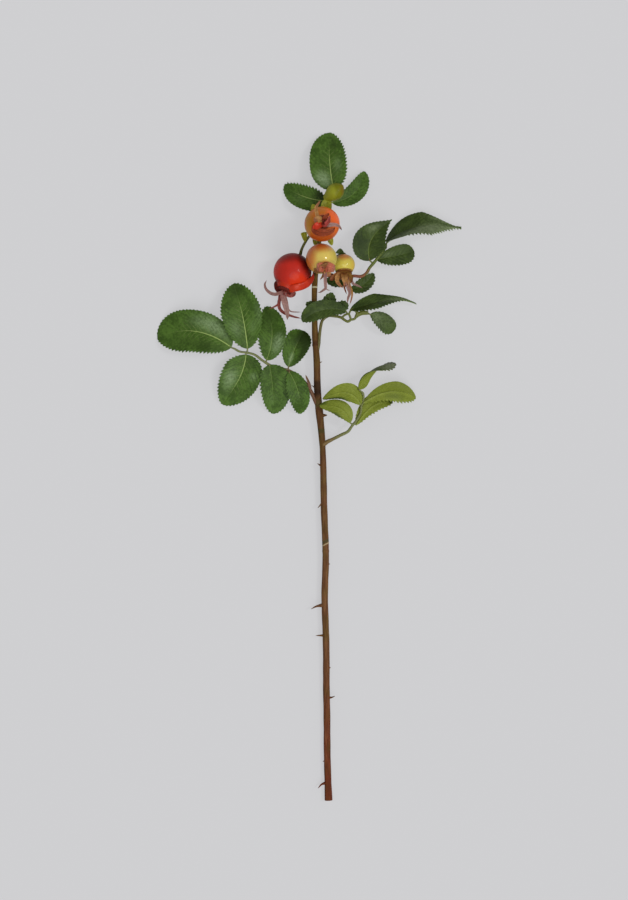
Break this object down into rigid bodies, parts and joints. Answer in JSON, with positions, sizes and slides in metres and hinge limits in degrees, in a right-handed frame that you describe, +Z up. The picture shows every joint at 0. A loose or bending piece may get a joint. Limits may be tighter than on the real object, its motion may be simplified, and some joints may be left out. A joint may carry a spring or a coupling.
{
  "type": "rose hip sprig",
  "caption": "Cut rose sprig lying flat: a prickly woody stem with toothed compound leaves and a cluster of round hips from green bud to ripe red, sepals still on.",
  "frame": {"origin": "middle of the sprig's footprint, on the surface that it lies on", "axes": "+Y along the stem from the cut end towards the topmost leaf, +X across the sprig, +Z up from the surface"},
  "size_m": [0.2295, 0.5043, 0.0531],
  "materials": {
    "bark": "matt reddish-brown bark with olive streaks",
    "stalk": "satin olive green, flushed red near the stem",
    "leaf": "satin dark green above, pale green below",
    "young_leaf": "matt yellow-green, its paler side uppermost",
    "bract": "satin yellow-green",
    "sepal": "matt dried red-brown",
    "red_skin": "glossy ripe red",
    "orange_skin": "glossy orange, blushed red",
    "yellow_skin": "glossy yellow, blushed orange",
    "pale_skin": "glossy green-yellow",
    "bud_skin": "satin olive green"
  },
  "bodies": {
    "root": {"main_stem": "bark", "leaf_stalk_left": "stalk", "leaf_stalk_low_right": "stalk", "leaf_stalk_mid_right": "stalk", "leaf_stalk_high_right": "stalk", "leaf_stalk_top": "stalk", "leaflet_left_end": "leaf", "leaflet_left_upper_3": "leaf", "leaflet_left_upper_2": "leaf", "leaflet_left_upper_1": "leaf", "leaflet_left_lower_3": "leaf", "leaflet_left_lower_2": "leaf", "leaflet_left_lower_1": "leaf", "leaflet_top_end": "leaf", "leaflet_top_left": "leaf", "leaflet_top_right": "leaf", "leaflet_high_end": "leaf", "leaflet_high_upper": "leaf", "leaflet_high_lower": "leaf", "leaflet_high_base_right": "leaf", "leaflet_high_base_left": "leaf", "leaflet_mid_left": "leaf", "leaflet_mid_left_back": "leaf", "leaflet_mid_up": "leaf", "leaflet_mid_up_right": "leaf", "leaflet_mid_end": "leaf", "leaflet_mid_right": "leaf", "leaflet_low_end": "young_leaf", "leaflet_low_upper_left": "young_leaf", "leaflet_low_upper_right": "young_leaf", "leaflet_low_lower_left": "young_leaf", "leaflet_low_lower_right": "young_leaf", "hip_red": "red_skin", "hip_orange": "orange_skin", "hip_yellow": "yellow_skin", "hip_small": "pale_skin", "hip_bud": "bud_skin", "calyx_red": "sepal", "calyx_orange": "sepal", "calyx_yellow": "sepal", "calyx_small": "sepal", "pedicel_red": "stalk", "pedicel_orange": "stalk", "pedicel_yellow": "stalk", "pedicel_small": "stalk", "pedicel_bud": "stalk", "bract_top": "bract", "bract_top_left": "bract", "bract_stalk": "bract", "bract_low_left": "bract", "bract_low_right": "bract", "bract_small": "bract"}
  },
  "joints": []
}
